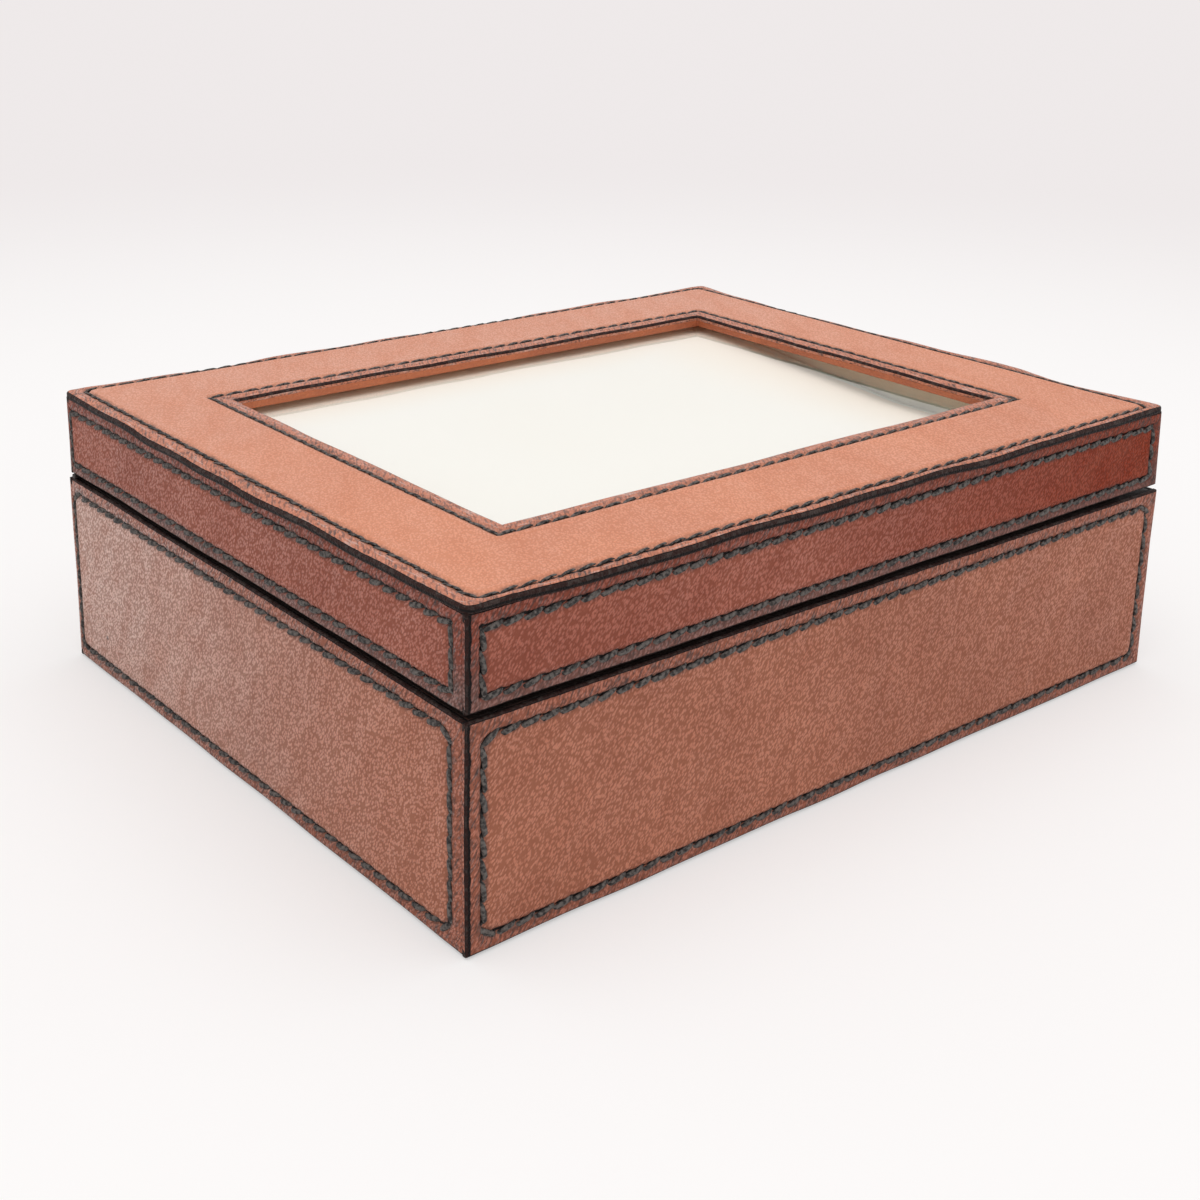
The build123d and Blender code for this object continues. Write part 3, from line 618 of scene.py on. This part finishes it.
def leather(name, body, deep, borders, dye_and_sheen_tint, tone, coats, grained=0.5, crease_highlight=0.0):
    """Waxed calf: dye clouds, diagonal grain, rubbed and creased borders with painted highlights on the
    creases, rows inked and darkened with painted shade along their grooves and holes, painted edges.

    The borders have a colour low on the box and one high on it. The tint and the second coat come in
    along the tone's axis, from its start to its end. The tint is a redder dye on the lid, and a paler,
    greyer painted sheen on the base and the top.
    """
    finish, wire = new_finish(name)
    place = in_mm(wire)
    face, row = noted(wire, "face_mm", "Vector"), noted(wire, "row_mm", "Vector")
    to_paint, to_inked_shade, to_hole = (noted(wire, note) for note in ("paint_mm", "inked_shade_mm", "hole_mm"))
    beyond = on_axis(row, "Y")
    clouds = noise_at(place, CLOUD_SIZE, 3)
    mottle = noise_at(place, MOTTLE_SIZE, 4)
    smudge = noise_at(place, SMUDGE_SIZE, 3)
    ragged = noise_at(place, RAGGED_SIZE, 2)
    streak = noise_at(face, STREAK_SIZE, 3, STREAK_TURN)
    valley = rise(cells_at(face, GRAIN_SIZE, GRAIN_TURN), 0.25, 0.70)
    crack = rise(noise_at(face, CRACK_SIZE, 3, CRACK_TURN), 0.50, 0.60)
    crease = noise_at(row, CREASE_SIZE, 3)
    axis, start, end = tone
    share = rise(on_axis(place, axis), start, end)
    colour = blend(body, deep, rise(clouds, 0.35, 0.68) * 0.4 + rise(mottle, 0.35, 0.7) * 0.15)
    # The tint along the tone's axis: a redder dye on the lid, a painted sheen on the base and the top.
    colour = blend(colour, dye_and_sheen_tint, share * (1 - rise(mottle, 0.4, 0.7) * 0.3))
    colour = blend(colour, deep, rise(streak, 0.40, 0.75) * 0.25)
    outside = rise(beyond, *BORDER_FROM) * (1 - rise(beyond, *BORDER_TO))
    border = blend(*borders, rise(on_axis(place, "Z"), *BORDER_CHANGE))
    colour = blend(colour, border, outside * 0.8)
    # Darker along the border's cracks, as painted shade in them, and in smudges of dirt.
    colour = blend(colour, SMUDGE_AND_SHADE, outside * (crack * 0.6 + rise(smudge, 0.50, 0.72) * 0.4))
    # Pale lines along the border's creases: painted highlights.
    colour = blend(colour, CREASE_HIGHLIGHT_PAINT, outside * rise(crease, 0.55, 0.66) * crease_highlight)
    inputs = {0: colour, "Scale": 1 + (0.5 - valley) * grained}
    colour = colour.node("ShaderNodeVectorMath", {"operation": "SCALE"}, inputs)
    colour = blend(colour, SMUDGE_AND_SHADE, (1 - rise(cells_at(place, SPOT_SPACING), *SPOT_EDGE)) * 0.8)
    # A darker band along each row's groove: painted shade in the groove, unevenly mixed with dirt.
    groove_shade_and_dirt = (1 - rise(abs(beyond), *GROOVE_SHADE_EDGE)) * (0.2 + rise(smudge, 0.45, 0.7) * 0.4)
    colour = blend(colour, SMUDGE_AND_SHADE, groove_shade_and_dirt)
    # A black line along each row, on the side away from its thread: ink, with painted shadow of the groove's
    # wall.
    colour = blend(colour, INK_AND_SHADE_BLACK, 1 - rise(to_inked_shade + (ragged - 0.5) * INKED_SHADE_RAGGED, *INKED_SHADE_EDGE))
    # Black in each needle hole: painted shade.
    colour = blend(colour, INK_AND_SHADE_BLACK, 1 - rise(to_hole, *HOLE_EDGE))
    rough_gap = to_paint + (smudge - 0.5) * PAINT_SMUDGED + (ragged - 0.5) * PAINT_RAGGED
    painted = 1 - rise(rough_gap, PAINT_REACH * PAINT_SOLID, PAINT_REACH)
    worn = blend(EDGE_BROWN, EDGE_GREY, rise(ragged + (smudge - 0.5) * 0.6, 0.44, 0.64) * 0.75)
    worn = blend(worn, INK_AND_SHADE_BLACK, 1 - rise(abs(rough_gap - PAINT_REACH * PAINT_LINE), *PAINT_LINE_EDGE))
    worn = blend(worn, INK_AND_SHADE_BLACK, 1 - rise(abs(rough_gap + PAINT_SEAM), *PAINT_SEAM_EDGE))
    colour = blend(colour, worn, painted)
    relief = (1 - valley) * (0.3 + grained) + outside * (crease * 1.1 - crack * 0.5) + mottle * 0.12
    rough = 0.42 + mottle * 0.14 + valley * 0.12 - painted * 0.04
    coat = (share * (coats[1] - coats[0]) + coats[0]) * (1.25 - rise(streak, 0.3, 0.7) * 0.5)
    coat = coat * (1 + (0.5 - valley) * 3 * grained) * (1 - painted)
    shine = {"Coat Weight": coat, "Coat Roughness": COAT_ROUGHNESS, "Specular IOR Level": HIDE_SPECULAR}
    principled(wire, colour, rough, bump(relief + painted * ragged * 0.8, 0.85, RELIEF_DEPTH), **shine)
    return finish


base_leather = leather(
    "base leather", BASE_BODY, BASE_DEEP, (BASE_BORDER, BASE_BORDER), BASE_PAINTED_SHEEN, BASE_SHEEN_SPAN, BASE_COATS
)
BASE_ROLL = {"front": (0.7, 0.5), "back": (0.7, 0.5), "left": (0.4, 0.5), "right": (0.4, 0.5)}
box_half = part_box("lid_top_leather")[1] / MM


def face_row(facing, low, high, corner=ROW_CORNER):
    """The row of stitches round a face: set in from the box's sides, between two heights."""
    half = abs(box_half.dot(Vector(FACINGS[facing][0])))
    shift = LEFT_ROW_SHIFT if facing == "left" else 0
    return Row(shift, (low + high) / 2, half - ROW_EDGE, (high - low) / 2, corner)


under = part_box("base_bottom_board")[1].z / MM
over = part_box("deck_board")[0].z / MM
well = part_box("deck_board")[1].y / MM
drawer_mouth = Row(0, (under + over) / 2, well, (over - under) / 2)
base_faces = []
for facing in ("front", "back", "left", "right"):
    node = f"base_{facing}_leather"
    row = face_row(facing, RAIL_ROW_LOW if facing == "right" else BASE_ROW_LOW, BASE_ROW_HIGH)
    hollow = drawer_mouth if facing == "right" else None
    hide_piece(node, facing, "base", "base_leather", base_leather, [row], BASE_ROLL[facing], hollow)
    base_faces.append((facing, face_of(node, facing)[0], row))

# ------------------------------------------------------------- base stitching
# Thick waxed thread, saddle-stitched by hand through pricked holes: each stitch is a short slanted
# strand that rises out of one hole and goes down into the next, a little past its neighbour's end.
THREAD_GREY = (0.140, 0.124, 0.113, 1)
THREAD_DARK = (0.010, 0.009, 0.009, 1)
STITCH_LENGTH, STITCH_WIDTH, STITCH_THICK = 5.9, 1.4, 1.0
STITCH_SLANT = math.radians(12)
STITCH_SEAT = -0.12
STITCH_DIP = 0.78
STITCH_LEAN = math.radians(4)
STITCH_UNEVEN = 0.07
STITCH_FULL = -0.42
STITCH_LUMP, STITCH_LUMP_SIZE = 0.16, 0.4
STRAND_KINDS, KIND_SPREAD = 5, 7
STRAND_ROUND, STRAND_LONG = 8, 7
POLE_GIRTH = 0.01
THREAD_TURNS = 2
THREAD_TWIST = 4
FUZZ_SIZE, WAX_SIZE = 0.42, 0.95
DICE_SEED = 11

thread_finish, wire = new_finish("waxed thread")
uv = wire.node("ShaderNodeUVMap", {"uv_map": "Strand"})
round_it, along_it = on_axis(uv, "X"), on_axis(uv, "Y")
turned = (round_it * THREAD_TURNS + along_it * THREAD_TWIST) * (2 * math.pi)
ply = turned.sum("SINE", turned) * 0.5 + 0.5
place = in_mm(wire)
fuzz = noise_at(place, FUZZ_SIZE, 3)
wax = noise_at(place, WAX_SIZE, 3)
ends = rise(abs(along_it - 0.5), 0.36, 0.48)
# Darker in the twist's grooves and at the strand's ends by its holes: painted shade; the wax patches are its
# own.
colour = blend(THREAD_GREY, THREAD_DARK, (1 - ply) * 0.3 + rise(wax, 0.42, 0.60) * 0.75)
colour = blend(colour, THREAD_DARK, ends)
principled(wire, colour, 0.66 + fuzz * 0.25, bump(ply * 0.4 + fuzz, 1.0, RELIEF_DEPTH))


def strand_kind(kind):
    """One lumpy strand along X, in millimetres, dipping at both ends."""
    strand = bmesh.new()
    strand.loops.layers.uv.new("Strand")
    bmesh.ops.create_uvsphere(
        strand, u_segments=STRAND_ROUND, v_segments=STRAND_LONG, radius=1.0, calc_uvs=True
    )
    bmesh.ops.rotate(strand, cent=(0, 0, 0), matrix=Matrix.Rotation(math.pi / 2, 3, "Y"), verts=strand.verts)
    for vert in strand.verts:
        girth = math.hypot(vert.co.y, vert.co.z)
        fuller = girth ** STITCH_FULL if girth > POLE_GIRTH else 0
        spot = vert.co / STITCH_LUMP_SIZE + Vector((kind * KIND_SPREAD, 0, 0))
        lump = 1 + noise.noise(spot) * 2 * STITCH_LUMP
        vert.co.y *= fuller * lump * STITCH_WIDTH / 2
        vert.co.z = vert.co.z * fuller * lump * STITCH_THICK / 2 - STITCH_DIP * vert.co.x ** 4
        vert.co.x *= STITCH_LENGTH / 2
    return made_mesh(strand, "strand")


strands = [strand_kind(kind) for kind in range(STRAND_KINDS)]
dice = random.Random(DICE_SEED)


def thread_piece(node, body, faces, girth=1.0, seat_depth=STITCH_SEAT):
    """All the stitches of a node's rows as one piece, lying a little off their holes."""
    thread = bmesh.new()
    for facing, place, row in faces:
        lay = FACINGS[facing][2]
        for (u, v), heading, _ in stitches_of(row):
            lean = heading + STITCH_SLANT + dice.uniform(-STITCH_LEAN, STITCH_LEAN)
            size = [1 + dice.uniform(-STITCH_UNEVEN, STITCH_UNEVEN) for _ in range(3)]
            seat = Matrix.Translation((u + lay[0], v + lay[1], seat_depth))
            size = Matrix.Diagonal((size[0], size[1] * girth, size[2] * girth, 1))
            strand = dice.choice(strands).copy()
            strand.transform(place @ seat @ Matrix.Rotation(lean, 4, "Z") @ size)
            thread.from_mesh(strand)
            bpy.data.meshes.remove(strand)
    name = node.replace("threads", "stitches").replace("thread", "stitches")
    mesh = made_mesh(thread, name)
    settled(mesh, body)
    add_piece(name, mesh, body, "thread", thread_finish, node)


thread_piece("base_side_threads", "base", base_faces)

# ---------------------------------------------------- base rim and underside
# Thin leather covers the rim that the lid closes on, darkened further in than its turn with painted
# shade, and one sheet covers the underside. A narrow welt, black as painted shade, stands on the rim
# along the back, on both sides of each hinge, and closes the gap below the lid.
RIM_BODY, RIM_DEEP = (0.36, 0.115, 0.060, 1), (0.20, 0.062, 0.036, 1)
RIM_PAINTED_SHADE = (0.020, 0.012, 0.010, 1)
WELT_SHADE_BODY, WELT_SHADE_DEEP = (0.030, 0.020, 0.018, 1), (0.015, 0.010, 0.010, 1)
THIN_CLOUDS, THIN_MOTTLE, THIN_GRAIN = 25.0, 5.5, 0.7
THIN_EASE = 0.4
WELT_RUNS = ((-119.9, -89.0), (-55.0, 55.0), (89.0, 119.9))
RIM_TURN = (0.5, 1.7)
WELT_WIDTH, WELT_HEIGHT, WELT_INSET = 1.8, 1.35, 1.0


def plain_leather(name, body_colour, deep_colour, inner_shade_colour=None):
    """The same calf without rows or painted edges. Painted shade darkens it further in than the rim's turn.
    """
    finish, wire = new_finish(name)
    place = in_mm(wire)
    mottle = noise_at(place, THIN_MOTTLE, 4)
    valley = rise(cells_at(place, THIN_GRAIN), 0.28, 0.72)
    clouds = rise(noise_at(place, THIN_CLOUDS, 3), 0.35, 0.68)
    colour = blend(body_colour, deep_colour, clouds * 0.5 + valley * 0.25 + mottle * 0.2)
    # Dark further in than the rim's turn: painted shade under the closed lid.
    if inner_shade_colour:
        across, along = (abs(on_axis(place, way)) for way in "XY")
        inward = across.sum("MINIMUM", box_half.x - across, box_half.y - along)
        colour = blend(colour, inner_shade_colour, rise(inward + (mottle - 0.5) * 1.5, *RIM_TURN))
    relief = (1 - valley) * 0.5 + mottle * 0.2
    principled(wire, colour, 0.45 + mottle * 0.15, bump(relief, 0.5, RELIEF_DEPTH))
    return finish


rim_leather = plain_leather("rim leather", RIM_BODY, RIM_DEEP, RIM_PAINTED_SHADE)
softened("base_rim_leather", "base", "base_leather", rim_leather, THIN_EASE)
softened("base_under_leather", "base", "base_leather", rim_leather, THIN_EASE)

rim_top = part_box("base_rim_leather")[1] / MM
welt = bmesh.new()
for start, end in WELT_RUNS:
    made = bmesh.ops.create_cube(welt, size=1.0)["verts"]
    bmesh.ops.scale(welt, vec=(end - start, WELT_WIDTH, WELT_HEIGHT), verts=made)
    middle = ((start + end) / 2, rim_top.y - WELT_INSET, rim_top.z + WELT_HEIGHT / 2)
    bmesh.ops.translate(welt, vec=middle, verts=made)
bmesh.ops.bevel(
    welt, geom=welt.edges, offset=THIN_EASE, segments=2, profile=0.5, affect="EDGES", material=-1
)
bmesh.ops.scale(welt, vec=(MM, MM, MM), verts=welt.verts)
# The welt is near black: it stands for the shade in the gap below the lid, as painted shade.
welt_shade_leather = plain_leather("inked leather", WELT_SHADE_BODY, WELT_SHADE_DEEP)
flat_faces(add_piece("back_welt", made_mesh(welt, "back_welt"), "base", "base_leather", welt_shade_leather))

# ------------------------------------------------------- lips and tray of rooms
# The lip boards and the loose tray with its halved dividers are faced with cream suede, whose nap
# lies a little differently from place to place.
SUEDE_PALE = (0.76, 0.70, 0.58, 1)
SUEDE_DARK = (0.60, 0.53, 0.42, 1)
NAP_SIZE, FIBRE_SIZE, TUFT_SIZE = 14.0, 0.42, 1.4
SUEDE_EASE = 0.6

suede, wire = new_finish("cream suede")
place = in_mm(wire)
nap = noise_at(place, NAP_SIZE, 4)
fibre = noise_at(place, FIBRE_SIZE)
tuft = noise_at(place, TUFT_SIZE, 3)
colour = blend(SUEDE_PALE, SUEDE_DARK, rise(nap, 0.35, 0.7) * 0.5 + rise(fibre, 0.4, 0.7) * 0.3)
principled(
    wire, colour, 0.86 + nap * 0.1, bump(fibre * 0.6 + tuft * 0.6, 0.6, RELIEF_DEPTH), Sheen_Weight=0.35
)

for node in (
    "lip_front", "lip_back", "lip_left", "lip_right",
    "cufflink_tray", "tray_cross_dividers", "tray_long_dividers",
):
    softened(node, "base", "suede", suede, SUEDE_EASE, 3)

# --------------------------------------------------------------------- drawer
# A shallow wooden drawer in the right-hand end, with a suede pad and two dividers. Its front is
# faced with leather like the sides, stitched round, with a leather tab to pull it by.
DRAWER_ROW_EDGE = 3.2
DRAWER_ROLL = (0.5, 0.5)
TAB_EASE = 0.9

place, outline, _ = face_of("drawer_front_leather", "right")
row = outline._replace(
    half_u=outline.half_u - DRAWER_ROW_EDGE, half_v=outline.half_v - DRAWER_ROW_EDGE, corner=ROW_CORNER
)
hide_piece("drawer_front_leather", "right", "drawer", "base_leather", base_leather, [row], DRAWER_ROLL)
thread_piece("drawer_thread", "drawer", [("right", place, row)])
for node in ("drawer_lining", "drawer_dividers"):
    softened(node, "drawer", "suede", suede, SUEDE_EASE, 3)
tab_leather = plain_leather("tab leather", BASE_BODY, BASE_DEEP)
softened("drawer_pull_tab", "drawer", "base_leather", tab_leather, TAB_EASE, 4)

# --------------------------------------------------------------------- hinges
# Two small brass butt hinges behind the box. Their leaves lie flat between base and lid, each held
# by two countersunk screws, and a pin goes through each barrel. They keep the frame's own meshes.
BRASS_PALE = (0.80, 0.60, 0.30, 1)
BRASS_DULL = (0.55, 0.38, 0.17, 1)
BRUSH_SIZE, TARNISH_SIZE = (14.0, 1.1, 1.1), 4.5
BRUSH_RELIEF = 0.0001

brass, wire = new_finish("brushed brass")
place = in_mm(wire)
brush = noise_at(place, BRUSH_SIZE, 3)
tarnish = noise_at(place, TARNISH_SIZE, 3)
colour = blend(BRASS_PALE, BRASS_DULL, rise(tarnish, 0.4, 0.75) * 0.7 + brush * 0.2)
rough = 0.26 + brush * 0.2 + rise(tarnish, 0.5, 0.8) * 0.15
principled(wire, colour, rough, bump(brush, 0.3, BRUSH_RELIEF), Metallic=1.0)


def dress(node, finish):
    """Puts a finish on a node that keeps the frame's own mesh."""
    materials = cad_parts[node].data.materials
    materials.clear()
    materials.append(finish)


for node in (
    "hinge_left_base_leaf", "hinge_right_base_leaf", "hinge_pins", "base_hinge_screws",
    "hinge_left_lid_leaf", "hinge_right_lid_leaf", "lid_hinge_screws",
):
    dress(node, brass)

# --------------------------------------------------------- lid boards and back
# The lid's own boards are faced with cream suede where they show inside. The window frame is a
# board painted khaki, rebated for the glass, and a suede panel closes the lid from below.
KHAKI_PALE = (0.84, 0.84, 0.72, 1)
KHAKI_DARK = (0.70, 0.69, 0.58, 1)
PATCH_SIZE, STROKE_SIZE = 17.0, (17.0, 3.3, 3.3)
STROKE_RELIEF = 0.0002

khaki, wire = new_finish("khaki paint")
place = in_mm(wire)
brushed = noise_at(place, STROKE_SIZE, 3)
patches = rise(noise_at(place, PATCH_SIZE, 3), 0.35, 0.7)
colour = blend(KHAKI_PALE, KHAKI_DARK, patches * 0.5 + brushed * 0.3)
principled(wire, colour, 0.55 + brushed * 0.2, bump(brushed, 0.3, STROKE_RELIEF))

for node in ("lid_front_board", "lid_back_board", "lid_left_board", "lid_right_board"):
    softened(node, "lid", "lined_board", suede, ARRIS)
softened("window_frame", "lid", "khaki_board", khaki, ARRIS)
softened("lid_back_panel", "lid", "suede", suede, SUEDE_EASE)
softened("lid_rim_leather", "lid", "lid_leather", rim_leather, THIN_EASE)

# --------------------------------------------------------- card, glass, reveal
# Behind the pane lies a thin cream card, turned beige by painted shade towards its right end and its
# far side. It has come loose at its right end and hangs towards the near corner, so that the khaki
# pocket shows past it.
# Leather lines the cut round the pane.
CARD_PALE = (0.97, 0.945, 0.90, 1)
CARD_SHADE = (0.94, 0.90, 0.82, 1)
CARD_PAINTED_SHADOW = (0.99, 0.88, 0.76, 1)
CARD_EDGE_HIGHLIGHT = (0.95, 0.98, 0.93, 1)
CARD_FELT, CARD_PATCHES, CARD_RELIEF = 0.67, 83.0, 0.0001
CARD_CELLS = (96, 72)
CARD_THICK = 0.6
CARD_HIGHLIGHT_FROM, CARD_HIGHLIGHT_WIDTH = 4.16, 3.2
CARD_SHADOW_X = (38.0, 84.0)
CARD_SHADOW_Y = (38.0, 64.0)
CARD_BEND_Y = (-71.0, -33.0, 0.0, 40.0, 71.0)
CARD_BEND_X = (42.0, 48.0, 56.0, 66.0, 78.0)
CARD_STRAIGHT_Y = 58.0
CARD_DROOP = 0.088
CARD_SAG = 6.9
CARD_CURL = 1.4
GLASS_TINT, GLASS_IOR, GLASS_ROUGHNESS = (0.985, 0.99, 0.985, 1), 1.5, 0.02
REVEAL_BODY, REVEAL_DEEP = (0.52, 0.150, 0.055, 1), (0.33, 0.085, 0.035, 1)
REVEAL_EASE = 0.3

card_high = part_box("display_card")[1] / MM
card_finish, wire = new_finish("cream card")
place = in_mm(wire)
felt = noise_at(place, CARD_FELT, 3)
patches = rise(noise_at(place, CARD_PATCHES), 0.4, 0.8)
colour = blend(CARD_PALE, CARD_SHADE, patches * 0.4 + felt * 0.12)
across = on_axis(place, "X")
# Beige towards the card's right end and far side: painted shade.
painted_shadow = rise(across, *CARD_SHADOW_X)
painted_shadow = painted_shadow.sum("MAXIMUM", painted_shadow, rise(on_axis(place, "Y"), *CARD_SHADOW_Y))
colour = blend(colour, CARD_PAINTED_SHADOW, painted_shadow * 0.9)
# A pale greenish strip along the card's right edge: a painted highlight.
edge_highlight = rise(across, card_high.x - CARD_HIGHLIGHT_FROM, card_high.x - CARD_HIGHLIGHT_WIDTH)
colour = blend(colour, CARD_EDGE_HIGHLIGHT, edge_highlight)
principled(wire, colour, 0.75 + felt * 0.15, bump(felt, 0.2, CARD_RELIEF))

sheet = bmesh.new()
bmesh.ops.create_grid(sheet, x_segments=CARD_CELLS[0], y_segments=CARD_CELLS[1], size=1.0)
for vert in sheet.verts:
    vert.co.x *= card_high.x
    vert.co.y *= card_high.y
    bend = np.interp(vert.co.y, CARD_BEND_Y, CARD_BEND_X)
    sag = min(CARD_SAG, CARD_DROOP * max(0, CARD_STRAIGHT_Y - vert.co.y))
    share = max(0, vert.co.x - bend) / (card_high.x - bend)
    vert.co.z = card_high.z - sag * share ** CARD_CURL
bmesh.ops.scale(sheet, vec=(MM, MM, MM), verts=sheet.verts)
bmesh.ops.solidify(sheet, geom=sheet.faces, thickness=CARD_THICK * MM)
bmesh.ops.recalc_face_normals(sheet, faces=sheet.faces)
add_piece("cream_card", made_mesh(sheet, "cream_card"), "lid", "card", card_finish, "display_card")

glass_finish, wire = new_finish("window glass")
back_side = wire.node("ShaderNodeNewGeometry", output="Backfacing")
mirrored = wire.node("ShaderNodeFresnel", inputs={"IOR": GLASS_IOR}) * (1 - back_side)
clear = wire.node("ShaderNodeBsdfTransparent", inputs={"Color": GLASS_TINT})
shine = wire.node("ShaderNodeBsdfGlossy", inputs={"Color": (1, 1, 1, 1), "Roughness": GLASS_ROUGHNESS})
shade = wire.node("ShaderNodeMixShader", inputs={0: mirrored, 1: clear, 2: shine})
wire.node("ShaderNodeOutputMaterial", inputs={"Surface": shade})
dress("glass_pane", glass_finish)

reveal_leather = plain_leather("reveal leather", REVEAL_BODY, REVEAL_DEEP)
softened("window_reveal_leather", "lid", "lid_leather", reveal_leather, REVEAL_EASE)

# ---------------------------------------------------------------- lid leathers
# The lid's sides are a redder, darker hide, cut and pressed as on the base. The top is one tan
# hide with the window cut out of it. It hangs a little over the sides, with a thick painted edge.
LID_BODY = (0.38, 0.110, 0.066, 1)
LID_DEEP = (0.25, 0.060, 0.036, 1)
LID_REDDER = (0.235, 0.030, 0.009, 1)
LID_BORDER = (0.27, 0.062, 0.036, 1)
LID_LOW_BORDER = (0.20, 0.100, 0.084, 1)
TOP_BODY = (0.71, 0.280, 0.157, 1)
TOP_DEEP = (0.59, 0.214, 0.120, 1)
# Paler and greyer towards the top's far side: a painted sheen.
TOP_PAINTED_SHEEN = (0.68, 0.290, 0.180, 1)
TOP_BORDER = (0.56, 0.200, 0.120, 1)
LID_TONE, LID_COATS = ("X", -40.0, 115.0), (0.4, 0.0)
TOP_SHEEN_SPAN, TOP_COATS = ("Y", -60.0, 95.0), (0.4, 0.5)
TOP_GRAINED, TOP_CREASE_HIGHLIGHT = 0.2, 0.6
LID_ROW_LOW, LID_ROW_HIGH = 58.0, 72.9
WINDOW_ROW = 4.9
REVEAL = 1.0
TOP_ROW_EDGE = 3.0
TOP_ROLL = (0.75, 0.75)
TOP_CORNER = 2.5
TOP_FALL = 0.22
TOP_GIRTH, TOP_SEAT = 0.56, -0.14
WINDOW_GIRTH = 0.7

lid_leather = leather(
    "lid leather", LID_BODY, LID_DEEP, (LID_LOW_BORDER, LID_BORDER), LID_REDDER, LID_TONE, LID_COATS
)
lid_faces = []
for facing in ("front", "back", "left", "right"):
    node = f"lid_{facing}_leather"
    row = face_row(facing, LID_ROW_LOW, LID_ROW_HIGH, 0)
    hide_piece(node, facing, "lid", "lid_leather", lid_leather, [row], BASE_ROLL[facing])
    lid_faces.append((facing, face_of(node, facing)[0], row))

top_leather = leather(
    "top leather", TOP_BODY, TOP_DEEP, (TOP_BORDER, TOP_BORDER), TOP_PAINTED_SHEEN, TOP_SHEEN_SPAN, TOP_COATS,
    TOP_GRAINED, TOP_CREASE_HIGHLIGHT,
)
pane_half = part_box("window_reveal_leather")[1] / MM
window = Row(0, 0, pane_half.x - REVEAL, pane_half.y - REVEAL)
place, outline, _ = face_of("lid_top_leather", "top")
outer_row = outline._replace(
    half_u=outline.half_u - ROW_EDGE, half_v=outline.half_v - TOP_ROW_EDGE, corner=ROW_CORNER, fall=TOP_FALL
)
window_row = window._replace(
    half_u=window.half_u + WINDOW_ROW, half_v=window.half_v + WINDOW_ROW, border=-1
)
hide_piece(
    "lid_top_leather", "top", "lid", "top_leather", top_leather,
    [outer_row, window_row], TOP_ROLL, window, TOP_CORNER,
)

# --------------------------------------------------------------- lid stitching
# The same thread round the lid's four sides, round the top's outer edge and round the window,
# where the row turns square corners. The top's thread is finer and drawn deeper into the leather.
thread_piece("lid_side_threads", "lid", lid_faces)
thread_piece("lid_top_thread", "lid", [("top", place, outer_row)], TOP_GIRTH, TOP_SEAT)
thread_piece("window_thread", "lid", [("top", place, window_row)], WINDOW_GIRTH, TOP_SEAT)
